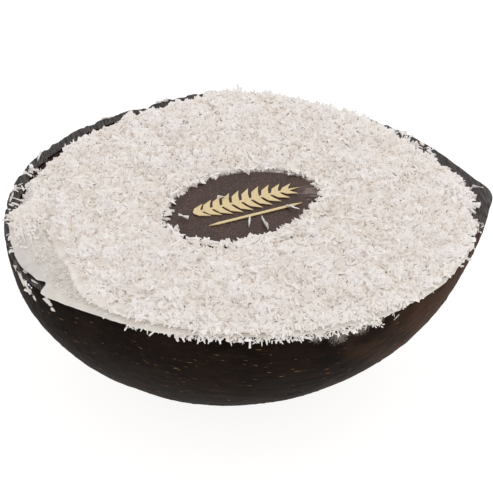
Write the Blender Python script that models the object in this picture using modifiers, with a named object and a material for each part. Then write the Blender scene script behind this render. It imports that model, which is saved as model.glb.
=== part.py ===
"""A half coconut served as a dessert: the nut's hard shell, a filling of set coconut cream, a bed of
grated coconut and an oval chocolate medallion printed in gold.

Run it with blender --background --python part.py, or from Blender's text editor.
Frame: metres, +Z up, +X towards the nut's pointed end. The origin is the centre of the shell's
footprint, on the small flat that the half stands on.
"""

import math

import bmesh
import bpy
from mathutils import Matrix, Vector

# --- The nut's shell, seen from above: an oval with three ridges, the sutures of a coconut ---
RIM_RADIUS = 0.0599  # mean distance from the core axis to the cut rim
OVAL = 0.0032  # how much the plan stands out along its long axis, and in across it
OVAL_HEADING = math.radians(-17)  # where the oval's long axis points
SUTURES = (  # heading in degrees, height of the ridge at the rim, half-width in degrees
    (0, 0.0055, 14),
    (87, 0.0045, 18),
    (201, 0.0032, 18),
)
INNER_RIDGE = 0.6  # share of each ridge that shows on the inner side of the wall

# --- The shell, seen from the side ---
RIM_HEIGHT = 0.048  # from the flat underneath to the cut rim
FOOT_GROUND_OFF = 0.002  # what was ground away under the nut to make the flat
BOWL_POWER = 1.8  # 2 is an elliptical side, less is a more pointed one
BOTTOM_SHIFT = (-0.012, -0.004)  # the nut's deepest point lies away from its pointed end
WALL = 0.0038  # the shell's wall
RIM_ROUND = 0.0006  # the sawn edge is broken by this much

# --- Fits ---
REST_GAP = 0.0003  # between two pieces that rest on each other
PRINT_GAP = 0.0001  # between the medallion and its print
SEAT_GAP = 0.0005  # between the medallion's edge and the bed around it

# --- The cream ---
CREAM_EDGE = 0.0009  # height of the cream's edge, where it lies on the rim
CREAM_RISE = 0.0012  # from that edge up to the cream's level middle
SHOULDER = 0.011  # the stretch from its edge inwards over which the cream rises
CREAM_LIP = 0.0006  # how far it laps over the rim where the rim is bare
RIM_SHOWS = 0.0004  # what shows of the rim outside the cream, everywhere else
BARE_RIM = (  # the bare stretches of rim: heading in degrees, half-width in degrees
    (145, 62),
    (8, 26),
)

# --- The bed of grated coconut ---
BED_MIDDLE = 0.0026  # depth of the grated coconut on the level middle
BED_EDGE = 0.0010  # and at its outer edge
BED_SETBACK = 0.0003  # from the cream's edge in to the bed's edge
BARE_CREAM = (190, 24)  # where the bed stops short of that: heading and half-width in degrees
BARE_CREAM_WIDTH = 0.0080

# --- The medallion and its print ---
MEDALLION_LENGTH = 0.0430
MEDALLION_WIDTH = 0.0320
MEDALLION_THICK = 0.0020
MEDALLION_EDGE = 0.0004
MEDALLION_CENTRE = (-0.0014, -0.0066)
MEDALLION_HEADING = math.radians(15.6)
PRINT_THICK = 0.0002
FROND_LENGTH = 0.0310
FROND_WIDTH = 0.0100
FROND_PLACE = (0.0010, 0.0024)  # its middle, along the medallion and across it
STALK_WIDTH = 0.0008
LEAFLETS = 10  # on each side of the frond
RULE_LENGTH = 0.0270
RULE_WIDTH = 0.0009
RULE_PLACE = (0.0010, -0.0046)

# --- Loose shreds of grated coconut ---
SHRED_WIDTH = 0.0009
SHRED_THICK = 0.0004
SHRED_CURL = 0.0005  # how far a shred's ends lift
SHREDS_ON_MEDALLION = (  # shares of its half length and half width, heading from its long axis, length
    (-0.80, 0.09, -48, 0.0030),
    (0.51, -0.39, -47, 0.0038),
    (-0.10, -0.47, -117, 0.0042),
    (0.06, -0.61, -94, 0.0050),
    (-0.19, 0.35, -14, 0.0032),
)
SHREDS_ON_RIM = (  # heading round the rim, turn from the rim's own run, length
    (104, 8, 0.0038),
    (121, -12, 0.0034),
    (146, 14, 0.0040),
    (166, -6, 0.0036),
    (2, 70, 0.0030),
)

# --- How finely the round shapes are divided ---
AROUND = 72
WALL_STEPS = 8
POLE_TURN = math.radians(86)  # the insides end in a small fan at the pole
SHOULDER_STEPS = 5
SHRED_STEPS = 6


def nearness(angle, heading, spread, power):
    """1 at a heading, falling to 0 about a spread away from it. A higher power has a flatter top."""
    off = (angle - math.radians(heading) + math.pi) % (2 * math.pi) - math.pi
    return math.exp(-(abs(off / math.radians(spread)) ** power))


def reach(angle, ridge=1.0):
    """Distance from the core axis to the nut's skin at the rim. ridge is the share of the sutures."""
    oval = OVAL * math.cos(2 * (angle - OVAL_HEADING))
    sutures = sum(height * nearness(angle, heading, spread, 2) for heading, height, spread in SUTURES)
    return RIM_RADIUS + oval + ridge * sutures


def wall_line(angle):
    """Distance from the core axis to the inner edge of the rim."""
    return reach(angle, INNER_RIDGE) - WALL


def cream_line(angle):
    """Distance to the cream's edge: nearly across the rim, or just over it where the rim is bare."""
    bare = max(nearness(angle, heading, spread, 4) for heading, spread in BARE_RIM)
    least = wall_line(angle) + CREAM_LIP
    most = reach(angle) - RIM_SHOWS
    return least * bare + most * (1 - bare)


def bed_line(angle):
    """Distance to the outer edge of the grated coconut."""
    return cream_line(angle) - BED_SETBACK - BARE_CREAM_WIDTH * nearness(angle, *BARE_CREAM, 4)


def cream_top(step_in):
    """Height of the cream's surface this far in from its edge: a shoulder, then the level middle."""
    left = 1 - min(step_in / SHOULDER, 1)
    return RIM_HEIGHT + REST_GAP + CREAM_EDGE + CREAM_RISE * (1 - left * left)


def middle_height():
    """Height of what lies on the level middle of the cream."""
    return cream_top(SHOULDER) + REST_GAP


def shoulder_steps():
    """Distances inwards from an edge, closer together near it."""
    return [SHOULDER * (i / SHOULDER_STEPS) ** 1.5 for i in range(SHOULDER_STEPS + 1)]


def headings():
    return [2 * math.pi * i / AROUND for i in range(AROUND)]


def footprint_centre():
    """The middle of the rim's extents, measured from the core axis."""
    xs = [reach(a) * math.cos(a) for a in headings()]
    ys = [reach(a) * math.sin(a) for a in headings()]
    return Vector(((min(xs) + max(xs)) / 2, (min(ys) + max(ys)) / 2, 0))


CORE = -footprint_centre()  # the core axis, in the part's frame


def section(radius_at, height_at):
    """A closed section round the core axis. Its radius and height are functions of the heading."""
    return [
        CORE + Vector((radius_at(a) * math.cos(a), radius_at(a) * math.sin(a), height_at(a)))
        for a in headings()
    ]


def level_ring(radius_at, z):
    return section(radius_at, lambda a: z)


def wall_ring(turn, inset, ridge):
    """A section of the bowl. turn runs from 0 at the rim to a right angle at the pole."""
    spread = math.cos(turn) ** (2 / BOWL_POWER)
    sink = math.sin(turn) ** (2 / BOWL_POWER)
    shift = Vector((*BOTTOM_SHIFT, 0)) * (1 - spread)
    z = RIM_HEIGHT - (RIM_HEIGHT + FOOT_GROUND_OFF - inset) * sink
    ring = level_ring(lambda a: (reach(a, ridge * spread) - inset) * spread, z)
    return [point + shift for point in ring]


def wall_rings(inset, ridge, last):
    """Sections from just under the rim down to the turn called last."""
    return [wall_ring(last * (i + 1) / WALL_STEPS, inset, ridge) for i in range(WALL_STEPS)]


def foot_turn():
    """The turn at which the bowl's outside meets the flat underneath."""
    sink = RIM_HEIGHT / (RIM_HEIGHT + FOOT_GROUND_OFF)
    return math.asin(sink ** (BOWL_POWER / 2))


def oval_ring(half_length, half_width, z):
    """An oval about the medallion's centre."""
    points = []
    for a in headings():
        b = a - MEDALLION_HEADING
        radius = 1 / math.hypot(math.cos(b) / half_length, math.sin(b) / half_width)
        x = MEDALLION_CENTRE[0] + radius * math.cos(a)
        y = MEDALLION_CENTRE[1] + radius * math.sin(a)
        points.append(Vector((x, y, z)))
    return points


def on_medallion(along, across, z):
    """A point given along and across the medallion, in the part's frame."""
    turned = Matrix.Rotation(MEDALLION_HEADING, 3, "Z") @ Vector((along, across, 0))
    return turned + Vector((*MEDALLION_CENTRE, z))


def finish(name, colour, roughness):
    """A plain material. Nothing here is a metal: the gold is an edible print."""
    material = bpy.data.materials.new(name)
    material.use_nodes = True
    shader = material.node_tree.nodes["Principled BSDF"]
    shader.inputs["Base Color"].default_value = (*colour, 1)
    shader.inputs["Roughness"].default_value = roughness
    return material


def add_part(name, mesh, material, smooth_under=40):
    """Links a mesh as a named part, shaded smooth across edges flatter than smooth_under degrees."""
    mesh.materials.append(material)
    mesh.shade_smooth()
    mesh.set_sharp_from_angle(angle=math.radians(smooth_under))
    part = bpy.data.objects.new(name, mesh)
    PARTS.objects.link(part)
    return part


def loft(name, rings, material, closed=False):
    """Skins rings of equally many points. Open ends are capped by a fan about their middle."""
    shape = bmesh.new()
    rows = [[shape.verts.new(point) for point in ring] for ring in rings]
    following = rows[1:] + rows[:1] if closed else rows[1:]
    for near, far in zip(rows, following):
        for i in range(len(near)):
            j = (i + 1) % len(near)
            shape.faces.new((near[i], near[j], far[j], far[i]))
    if not closed:
        caps = [shape.faces.new(rows[0]), shape.faces.new(rows[-1])]
        bmesh.ops.poke(shape, faces=caps)
    bmesh.ops.recalc_face_normals(shape, faces=shape.faces)
    mesh = bpy.data.meshes.new(name)
    shape.to_mesh(mesh)
    shape.free()
    return add_part(name, mesh, material)


def make_shell():
    """The hard brown shell: outside from the flat up, over the sawn rim, and down the inside."""
    outside = list(reversed(wall_rings(0, 1.0, foot_turn())))
    sawn_rim = [
        level_ring(reach, RIM_HEIGHT - RIM_ROUND),
        level_ring(lambda a: reach(a) - RIM_ROUND, RIM_HEIGHT),
        level_ring(lambda a: wall_line(a) + RIM_ROUND, RIM_HEIGHT),
        level_ring(wall_line, RIM_HEIGHT - RIM_ROUND),
    ]
    inside = wall_rings(WALL, INNER_RIDGE, POLE_TURN)
    loft("coconut_shell", outside + sawn_rim + inside, SHELL_BROWN)


def make_cream():
    """The filling: up the inner wall, out over the rim, and over its shoulder to a level middle."""
    low = RIM_HEIGHT + REST_GAP
    sides = list(reversed(wall_rings(WALL + REST_GAP, INNER_RIDGE, POLE_TURN)))
    lap = [
        level_ring(lambda a: wall_line(a) - REST_GAP, low),
        level_ring(cream_line, low),
    ]
    top = [level_ring(lambda a: cream_line(a) - step, cream_top(step)) for step in shoulder_steps()]
    loft("coconut_cream", sides + lap + top, CREAM_WHITE)


def bed_ring(step, depth):
    """A section of the bed this far in from its edge, and this high above the cream."""
    return section(
        lambda a: bed_line(a) - step,
        lambda a: cream_top(cream_line(a) - bed_line(a) + step) + REST_GAP + depth,
    )


def make_bed():
    """The grated coconut: one closed bed on the cream, open in the middle for the medallion."""
    opening = (MEDALLION_LENGTH / 2 + SEAT_GAP, MEDALLION_WIDTH / 2 + SEAT_GAP)
    rings = [oval_ring(*opening, middle_height())]
    for step in reversed(shoulder_steps()):
        rings.append(bed_ring(step, 0))
    for step in shoulder_steps():
        rings.append(bed_ring(step, BED_EDGE + (BED_MIDDLE - BED_EDGE) * step / SHOULDER))
    rings.append(oval_ring(*opening, middle_height() + BED_MIDDLE))
    loft("grated_coconut", rings, COCONUT_WHITE, closed=True)


def make_medallion():
    """An oval chocolate plate with softened edges, level on the cream."""
    bpy.ops.mesh.primitive_cylinder_add(
        vertices=AROUND,
        radius=MEDALLION_LENGTH / 2,
        depth=MEDALLION_THICK,
    )
    made = bpy.context.object
    mesh = made.data
    bpy.data.objects.remove(made)
    mesh.transform(Matrix.Diagonal((1, MEDALLION_WIDTH / MEDALLION_LENGTH, 1, 1)))
    plate = add_part("chocolate_medallion", mesh, CHOCOLATE)
    plate.location = (*MEDALLION_CENTRE, middle_height() + MEDALLION_THICK / 2)
    plate.rotation_euler.z = MEDALLION_HEADING
    edge = plate.modifiers.new("softened_edge", "BEVEL")
    edge.width = MEDALLION_EDGE
    edge.segments = 2
    edge.angle_limit = math.radians(40)


def print_height():
    """Underside of the gold print."""
    return middle_height() + MEDALLION_THICK + PRINT_GAP


def make_print(name, outline, place):
    """A flat gold figure on the medallion, cut to an outline of (along, across) points."""
    curve = bpy.data.curves.new(name, "CURVE")
    curve.dimensions = "2D"
    curve.fill_mode = "BOTH"
    curve.extrude = PRINT_THICK / 2
    spline = curve.splines.new("POLY")
    spline.points.add(len(outline) - 1)
    for point, (along, across) in zip(spline.points, outline):
        point.co = (along, across, 0, 1)
    spline.use_cyclic_u = True
    curve.materials.append(GOLD_PRINT)
    figure = bpy.data.objects.new(name, curve)
    figure.location = on_medallion(*place, print_height() + PRINT_THICK / 2)
    figure.rotation_euler.z = MEDALLION_HEADING
    PARTS.objects.link(figure)


def frond_side(side):
    """One side of the frond, foot to tip: each leaflet leaves the stalk, leans forward and returns."""
    pitch = FROND_LENGTH / (LEAFLETS + 1)
    stalk = STALK_WIDTH / 2
    points = []
    for i in range(LEAFLETS):
        foot = -FROND_LENGTH / 2 + pitch * (i + 0.2)
        fullness = math.sin(math.pi * (i + 1.4) / (LEAFLETS + 1.4)) ** 0.6
        out = stalk + (FROND_WIDTH / 2 - stalk) * fullness
        points.append((foot, side * stalk))
        points.append((foot + 0.35 * pitch, side * 0.6 * out))
        points.append((foot + 1.35 * pitch, side * out))
        points.append((foot + 0.95 * pitch, side * 0.5 * out))
        points.append((foot + 0.75 * pitch, side * stalk))
    return points


def make_frond():
    """A palm frond in gold, lying along the medallion."""
    tip = [(FROND_LENGTH / 2, 0.0)]
    make_print("gold_frond", frond_side(1) + tip + list(reversed(frond_side(-1))), FROND_PLACE)


def make_rule():
    """A thin gold line under the frond, pointed at both ends."""
    end = RULE_LENGTH / 2
    half = RULE_WIDTH / 2
    shoulder = end - 3 * RULE_WIDTH
    upper = [(-end, 0.0), (-shoulder, half), (shoulder, half)]
    lower = [(end, 0.0), (shoulder, -half), (-shoulder, -half)]
    make_print("gold_rule", upper + lower, RULE_PLACE)


def make_shred(name, centre, heading, length):
    """A curled sliver: four-cornered sections along a shallow arc, narrow at both ends."""
    run = Vector((math.cos(heading), math.sin(heading), 0))
    side = Vector((-run.y, run.x, 0))
    rings = []
    for i in range(SHRED_STEPS):
        t = 2 * i / (SHRED_STEPS - 1) - 1
        half = SHRED_WIDTH / 2 * (1 - 0.6 * t * t)
        spine = centre + run * (t * length / 2) + Vector((0, 0, SHRED_CURL * t * t))
        up = Vector((0, 0, SHRED_THICK))
        rings.append(
            [spine - side * half, spine + side * half, spine + side * half + up, spine - side * half + up]
        )
    loft(name, rings, COCONUT_WHITE)


def make_shreds_on_medallion():
    top = print_height() + PRINT_THICK + REST_GAP
    for number, (along, across, turn, length) in enumerate(SHREDS_ON_MEDALLION, 1):
        centre = on_medallion(along * MEDALLION_LENGTH / 2, across * MEDALLION_WIDTH / 2, top)
        make_shred(f"shred_on_medallion_{number}", centre, MEDALLION_HEADING + math.radians(turn), length)


def make_shreds_on_rim():
    top = RIM_HEIGHT + REST_GAP
    for number, (heading, turn, length) in enumerate(SHREDS_ON_RIM, 1):
        a = math.radians(heading)
        middle = (cream_line(a) + reach(a)) / 2
        centre = CORE + Vector((middle * math.cos(a), middle * math.sin(a), top))
        make_shred(f"shred_on_rim_{number}", centre, a + math.radians(90 + turn), length)


for leftover in list(bpy.data.objects):
    bpy.data.objects.remove(leftover)
PARTS = bpy.data.collections.new("coconut_half")
bpy.context.scene.collection.children.link(PARTS)

SHELL_BROWN = finish("shell_brown", (0.020, 0.012, 0.008), 0.55)
CREAM_WHITE = finish("cream_white", (0.80, 0.77, 0.72), 0.45)
COCONUT_WHITE = finish("coconut_white", (0.85, 0.82, 0.77), 0.60)
CHOCOLATE = finish("chocolate", (0.075, 0.043, 0.034), 0.40)
GOLD_PRINT = finish("gold_print", (0.70, 0.52, 0.26), 0.45)

make_shell()
make_cream()
make_bed()
make_medallion()
make_frond()
make_rule()
make_shreds_on_medallion()
make_shreds_on_rim()
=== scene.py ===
# %% [markdown]
# # Half a coconut, filled and served
#
# The real thing is a dessert: half of a coconut's hard shell holds set coconut cream. Grated coconut
# is heaped on the cream, and an oval plate of dark chocolate, printed in gold, lies on top. A packed
# CAD model gives every size and place, and this script makes the surfaces that a person would see.
#
# The first step loads that model. Its pieces are called nodes. Each is a mesh whose place is already
# in its vertices, so a copy of a node starts exactly where the real piece is.

# %% Load the frame
import math

import bpy
import numpy as np
from mathutils import Matrix, Vector, noise
from mathutils.bvhtree import BVHTree


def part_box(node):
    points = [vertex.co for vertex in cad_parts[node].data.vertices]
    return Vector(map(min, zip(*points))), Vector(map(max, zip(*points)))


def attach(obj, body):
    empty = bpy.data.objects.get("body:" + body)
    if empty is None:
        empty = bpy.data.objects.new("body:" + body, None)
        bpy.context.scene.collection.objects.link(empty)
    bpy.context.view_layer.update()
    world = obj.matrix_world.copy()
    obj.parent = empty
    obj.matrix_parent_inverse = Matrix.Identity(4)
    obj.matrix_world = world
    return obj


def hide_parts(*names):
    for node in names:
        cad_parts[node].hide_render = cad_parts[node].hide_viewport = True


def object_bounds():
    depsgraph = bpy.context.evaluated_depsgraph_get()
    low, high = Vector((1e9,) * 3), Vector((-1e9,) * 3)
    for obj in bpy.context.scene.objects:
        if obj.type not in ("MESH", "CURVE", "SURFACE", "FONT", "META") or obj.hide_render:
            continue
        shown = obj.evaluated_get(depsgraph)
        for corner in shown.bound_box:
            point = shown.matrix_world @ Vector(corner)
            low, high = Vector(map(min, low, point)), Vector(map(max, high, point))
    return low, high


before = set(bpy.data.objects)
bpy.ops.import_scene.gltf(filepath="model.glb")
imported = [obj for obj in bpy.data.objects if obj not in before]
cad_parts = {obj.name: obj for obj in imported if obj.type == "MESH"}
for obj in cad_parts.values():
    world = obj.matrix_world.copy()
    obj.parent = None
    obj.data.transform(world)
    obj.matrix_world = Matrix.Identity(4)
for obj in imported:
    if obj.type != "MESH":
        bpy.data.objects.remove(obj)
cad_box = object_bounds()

print("nodes:", len(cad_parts))

# %% [markdown]
# ## Sizes
#
# Everything is in metres, and a coconut is small, so `MM` keeps the numbers readable. The heights
# come from the frame's boxes, which keeps this script right if the model is packed at another size.
# A heap of shreds is fluffy, so its highest ones may stand a little above the CAD model. Random
# choices come from one seeded generator, so that each run makes the same dessert.

# %% Sizes read from the frame
MM = 0.001
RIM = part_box("coconut_shell")[1].z
CREAM_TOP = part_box("coconut_cream")[1].z
BED_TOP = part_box("grated_coconut")[1].z
PLATE_LOW, PLATE_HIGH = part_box("chocolate_medallion")
PLATE_MIDDLE = (PLATE_LOW + PLATE_HIGH) / 2
FLUFF = 1.4 * MM
HIGHEST = cad_box[1][2] + FLUFF
dice = np.random.default_rng(7)
print("rim at %.1f mm, cream to %.1f mm, coconut to %.1f mm" % (RIM / MM, CREAM_TOP / MM, BED_TOP / MM))

# %% [markdown]
# ## Helpers for modelling
#
# Blender's operators act on whatever is selected, as they do under a person's hands. `only` selects
# one piece and nothing else, and `edit` runs some steps in edit mode and always comes back out of it.
# `edit_faces` does that to the faces that pass a test. `apply_all` makes the modifiers' result the
# mesh itself.

# %% Selecting, editing and applying
def only(piece):
    bpy.ops.object.select_all(action="DESELECT")
    piece.select_set(True)
    bpy.context.view_layer.objects.active = piece
    return piece


def edit(piece, *steps):
    only(piece)
    bpy.ops.object.mode_set(mode="EDIT")
    bpy.ops.mesh.select_all(action="SELECT")
    for step in steps:
        step()
    bpy.ops.object.mode_set(mode="OBJECT")
    return piece


def select_none(kind):
    """In edit mode: picks vertices or faces from here on, with none selected yet."""
    bpy.ops.mesh.select_mode(type=kind)
    bpy.ops.mesh.select_all(action="DESELECT")


def edit_faces(piece, wanted, *steps):
    """Runs steps on the faces whose middle and normal pass a test."""
    edit(piece, lambda: select_none("FACE"))
    for polygon in piece.data.polygons:
        polygon.select = wanted(polygon.center, polygon.normal)
    bpy.ops.object.mode_set(mode="EDIT")
    for step in steps:
        step()
    bpy.ops.object.mode_set(mode="OBJECT")
    return piece


def pick_vertices(piece, wanted):
    """In edit mode: selects the vertices whose place passes a test, and stays in edit mode."""
    select_none("VERT")
    bpy.ops.object.mode_set(mode="OBJECT")
    for vertex in piece.data.vertices:
        vertex.select = wanted(vertex.co)
    bpy.ops.object.mode_set(mode="EDIT")


def apply_all(piece):
    only(piece)
    for modifier in list(piece.modifiers):
        bpy.ops.object.modifier_apply(modifier=modifier.name)
    return piece


def settle(piece):
    """Puts a piece's place into its mesh, so that the object itself sits at the origin."""
    only(piece)
    bpy.ops.object.transform_apply(location=True, rotation=True, scale=True)
    return piece


# %% [markdown]
# A node's mesh is loose triangles. `merged_copy` leaves the node alone and works on a copy: it welds
# the triangles' corners, then turns pairs of triangles back into four-sided faces, which a
# Subdivision Surface rounds much better than triangles. `move_points` then sculpts the result.

# %% Copying and sculpting a node
def merged_copy(node, name):
    piece = bpy.data.objects.new(name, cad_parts[node].data.copy())
    bpy.context.scene.collection.objects.link(piece)
    piece.data.materials.clear()
    flat, square = math.radians(50), math.radians(60)
    edit(
        piece,
        lambda: bpy.ops.mesh.remove_doubles(threshold=0.002 * MM),
        lambda: bpy.ops.mesh.tris_convert_to_quads(face_threshold=flat, shape_threshold=square),
    )
    if "custom_normal" in piece.data.attributes:
        piece.data.attributes.remove(piece.data.attributes["custom_normal"])
    return piece


def rounded(piece, levels):
    modifier = piece.modifiers.new("rounding", "SUBSURF")
    modifier.levels = modifier.render_levels = levels
    return apply_all(piece)


def move_points(piece, rule):
    """Sculpts a piece: rule takes a point and its normal, and gives how far it moves along each axis."""
    mesh = piece.data
    mesh.update()
    moved = [vertex.co + Vector(rule(vertex.co, vertex.normal)) for vertex in mesh.vertices]
    mesh.vertices.foreach_set("co", np.array(moved, np.float32).ravel())
    mesh.update()
    return piece


def smooth_all(piece, degrees=60):
    only(piece)
    bpy.ops.object.shade_smooth_by_angle(angle=math.radians(degrees))
    return piece


def count(piece):
    piece.data.calc_loop_triangles()
    print(piece.name, "has", len(piece.data.loop_triangles), "triangles")


# %% [markdown]
# ## Places round the core
#
# The dessert is nearly round, so most places on it are given by a heading and a distance from the
# nut's core axis. Headings are in degrees and turn left from +X. `outline` measures how far a node
# reaches at each heading.
#
# A stretch of the rim is a pair: the heading of its middle, and how far it reaches to each side.
# `near_heading` is 1 in a stretch and fades to 0 at its ends.

# %% Headings and stretches of the rim
CORE = Vector((-2.32 * MM, -2.12 * MM, 0))
UP = Vector((0, 0, 1))
TIP = (0.5, 7)
POINTED_RIM = (8, 26)
SHOULDER = (31, 23)
BACK_RIGHT_RIM = (56, 36)
SUNK_EDGE = (121, 42)
BACK_LEFT_RIM = (145, 62)
BANK = (190, 24)
BANK_LIP = (187, 17)
BANK_NOTCH = (206, 3)
SMOOTH_LIP = (-153, 33)
FRONT_LEFT_LIP = (-134, 30)
FRONT_RIM = (-88, 70)


def heading_of(point):
    return math.degrees(math.atan2(point[1] - CORE.y, point[0] - CORE.x))


def reach_of(point):
    return math.hypot(point[0] - CORE.x, point[1] - CORE.y)


def spot_at(heading, reach):
    """X and Y at a heading and a distance from the core."""
    angle = math.radians(heading)
    return CORE.x + reach * math.cos(angle), CORE.y + reach * math.sin(angle)


def outline(node):
    steps = np.zeros(72)
    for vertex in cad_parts[node].data.vertices:
        step = round(heading_of(vertex.co) / 5) % 72
        steps[step] = max(steps[step], reach_of(vertex.co))
    return lambda heading: np.interp(heading % 360, np.arange(73) * 5, np.append(steps, steps[0]))


def smoothly(share):
    share = min(max(share, 0.0), 1.0)
    return share * share * (3 - 2 * share)


def near_heading(heading, stretch, fade=9):
    away_from_middle = abs((heading - stretch[0] + 180) % 360 - 180)
    return smoothly((stretch[1] - away_from_middle) / fade)


shell_reach = outline("coconut_shell")
cream_reach = outline("coconut_cream")
bed_reach = outline("grated_coconut")
print("rim reaches %.1f to %.1f mm" % (min(map(shell_reach, range(0, 360, 5))) / MM, shell_reach(0) / MM))

# %% [markdown]
# Where the rim is bare, the filling ends a little lower than the saw cut, and `settling` says by how
# much. At the front it laps over the rim and hides it, and `lapping` says how far it is pushed
# outwards. Both work from a short list of stretches of the rim, each with its amount in millimetres
# and the degrees that its ends fade over. An amount below 0 pulls the edge in.

# %% How the filling meets the rim
LOW_STRETCHES = (
    (3.2, BACK_LEFT_RIM, 16),
    (5.2, SUNK_EDGE, 18),
    (2.7, BACK_RIGHT_RIM, 12),
    (2.3, POINTED_RIM, 9),
)
PUSHED_STRETCHES = (
    (-2.0, BACK_RIGHT_RIM, 12),
    (-0.7, SUNK_EDGE, 14),
    (1.2, FRONT_LEFT_LIP, 14),
    (1.7, BANK_LIP, 8),
)
SLOPE_WIDTH = 9 * MM
LAP_WIDTH = 2.5 * MM
OVERHANG = 0.8 * MM


def near_cream_edge(point, width):
    """1 at the cream's edge, and 0 from this far inside it."""
    return smoothly(1 - (cream_reach(heading_of(point)) - reach_of(point)) / width)


def settling(point):
    heading = heading_of(point)
    low = max(amount * near_heading(heading, stretch, fade) for amount, stretch, fade in LOW_STRETCHES)
    low *= 1 - 0.8 * near_heading(heading, BANK)
    return low * MM * near_cream_edge(point, SLOPE_WIDTH)


def lapping(point):
    heading = heading_of(point)
    over = (shell_reach(heading) - cream_reach(heading) + OVERHANG) * near_heading(heading, FRONT_RIM, 8)
    for amount, stretch, fade in PUSHED_STRETCHES:
        over += amount * MM * near_heading(heading, stretch, fade)
    return over * near_cream_edge(point, LAP_WIDTH)


for heading in (121, -88):
    edge_point = spot_at(heading, cream_reach(heading))
    lower, further = settling(edge_point) / MM, lapping(edge_point) / MM
    print("heading %d: edge %.1f mm lower and %.1f mm out" % (heading, lower, further))

# %% [markdown]
# ## Shader maths that reads like maths
#
# A material is a graph of nodes. Building it link by link hides what it means, so `Signal` wraps one
# output socket and overloads Python's operators: `speckle * 0.3 + 0.5` adds the two Math nodes that
# say so. `make` adds any other node. Colours never pass through a Math node, which would turn them
# grey: they go through a Mix node, by `mix`.

# %% The Signal class
class Signal:
    """An output socket in a shader, which can be used like a number."""

    def __init__(self, socket):
        self.socket = socket

    def make(self, kind, settings=None, inputs=None, output=0):
        """Adds any node to this signal's shader and returns the Signal of one of its outputs."""
        tree = self.socket.id_data
        node = tree.nodes.new(kind)
        for key, value in (settings or {}).items():
            setattr(node, key, value)
        for key, value in (inputs or {}).items():
            if isinstance(value, Signal):
                tree.links.new(value.socket, node.inputs[key])
            else:
                node.inputs[key].default_value = value
        return Signal(node.outputs[output])

    def math(self, operation, first, second):
        return self.make("ShaderNodeMath", {"operation": operation}, {0: first, 1: second})

    def __add__(self, other):
        return self.math("ADD", self, other)

    def __sub__(self, other):
        return self.math("SUBTRACT", self, other)

    def __rsub__(self, other):
        return self.math("SUBTRACT", other, self)

    def __mul__(self, other):
        return self.math("MULTIPLY", self, other)

    __radd__ = __add__
    __rmul__ = __mul__

    def or_more(self, other):
        """The larger of the two signals."""
        return self.math("MAXIMUM", self, other)

    def above(self, level, softness=0.05):
        """0 below a level and 1 above it, with a soft step between."""
        inputs = {0: self, 1: level - softness, 2: level + softness, 3: 0.0, 4: 1.0}
        return self.make("ShaderNodeMapRange", {"interpolation_type": "SMOOTHSTEP"}, inputs)

    def mix(self, low, high):
        """The colour low where this signal is 0, and the colour high where it is 1."""
        inputs = {0: self, 6: low, 7: high}
        return self.make("ShaderNodeMix", {"data_type": "RGBA"}, inputs, 2)


# %% [markdown]
# `Finish` starts a material and hands out the signals that the recipes begin with: the point on the
# object, and noise, cells or nearness read at that point. A stretch in `noise` squeezes the pattern
# along an axis, which is how grain gets its direction. `finish_with` joins the end of a recipe to the
# shader. Under the surface of cream red light travels furthest, and `GLOW` says so.

# %% Starting and ending a material
GLOW = (1.0, 0.85, 0.7)


def linear(red, green, blue):
    """A colour given as 0 to 255 on a screen, as the linear light that a shader wants."""
    parts = [c / 255 for c in (red, green, blue)]
    return tuple(c / 12.92 if c <= 0.04045 else ((c + 0.055) / 1.055) ** 2.4 for c in parts) + (1.0,)


class Finish:
    """A material on its way to being finished."""

    def __init__(self, name, roughness=0.5, specular=0.5, subsurface=0.0, glow_depth=MM):
        self.material = bpy.data.materials.new(name)
        self.material.use_nodes = True
        self.shader = self.material.node_tree.nodes["Principled BSDF"]
        self.shader.inputs["Roughness"].default_value = roughness
        self.shader.inputs["Specular IOR Level"].default_value = specular
        self.shader.inputs["Subsurface Weight"].default_value = subsurface
        self.shader.inputs["Subsurface Radius"].default_value = GLOW
        self.shader.inputs["Subsurface Scale"].default_value = glow_depth
        start = self.material.node_tree.nodes.new("ShaderNodeTexCoord")
        self.point = Signal(start.outputs["Object"])

    def noise(self, size, detail=4.0, rough=0.55, stretch=(1, 1, 1), turn=(0, 0, 0)):
        """Clouds whose blobs are about this size, in metres. 0 to 1, mostly near the middle."""
        place = {"Vector": self.point, "Scale": stretch, "Rotation": turn}
        placed = self.point.make("ShaderNodeMapping", None, place)
        inputs = {"Vector": placed, "Scale": 1 / size, "Detail": detail, "Roughness": rough}
        return self.point.make("ShaderNodeTexNoise", None, inputs)

    def cells(self, size):
        """Distance from the nearest of many points, 0 at a point, about this far apart."""
        inputs = {"Vector": self.point, "Scale": 1 / size}
        return self.point.make("ShaderNodeTexVoronoi", None, inputs)

    def nearness(self, place, radius):
        """1 at a place on the object, and 0 from this far away."""
        inputs = {0: self.point, 1: place}
        away_from_place = self.point.make("ShaderNodeVectorMath", {"operation": "DISTANCE"}, inputs, 1)
        return (1 - away_from_place * (1 / radius)).or_more(0.0)

    def tone(self):
        """The number that each copy laid down below carries in its mesh."""
        return self.point.make("ShaderNodeAttribute", {"attribute_name": "tone"}, None, 2)

    def finish_with(self, colour, roughness, height, depth):
        """Joins the recipe's colour, roughness and height to the shader. depth is the height of a bump."""
        links = self.material.node_tree.links
        links.new(colour.socket, self.shader.inputs["Base Color"])
        links.new(roughness.socket, self.shader.inputs["Roughness"])
        bump = height.make("ShaderNodeBump", None, {"Height": height, "Distance": depth})
        links.new(bump.socket, self.shader.inputs["Normal"])
        print("finish", self.material.name, "has", len(self.material.node_tree.nodes), "nodes")
        return self.material


# %% [markdown]
# ## The camera and the light
#
# The camera stands about 0.9 m away with a long lens, 34.5 degrees up, and a little to the left of
# square on, so that the nut's pointed end turns away from it. Its target is a point on the rim's
# level, and it aims a little under that.

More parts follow.
